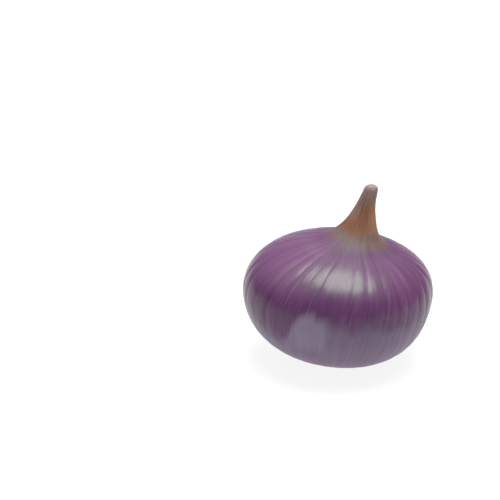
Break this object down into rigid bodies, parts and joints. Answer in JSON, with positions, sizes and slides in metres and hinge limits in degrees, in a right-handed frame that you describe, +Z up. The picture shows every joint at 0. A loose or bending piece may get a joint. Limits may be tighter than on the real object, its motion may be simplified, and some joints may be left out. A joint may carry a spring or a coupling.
{
  "type": "red onion",
  "caption": "Whole red onion: a flattened globe with papery ribbed skin, a dry tapering neck that leans to one side, and a trimmed root plate that it rests on.",
  "frame": {"origin": "on the surface that the onion rests on, below the middle of its bounding box", "axes": "+Z up; +X towards the side that the neck leans to; +Y away from the side that the picture shows"},
  "size_m": [0.075, 0.0742, 0.0731],
  "materials": {
    "onion_skin": "thin dry purple skin with a soft gloss, fine veins along the ribs, and rust brown at the neck"
  },
  "bodies": {
    "root": {"onion": "onion_skin"}
  },
  "joints": []
}
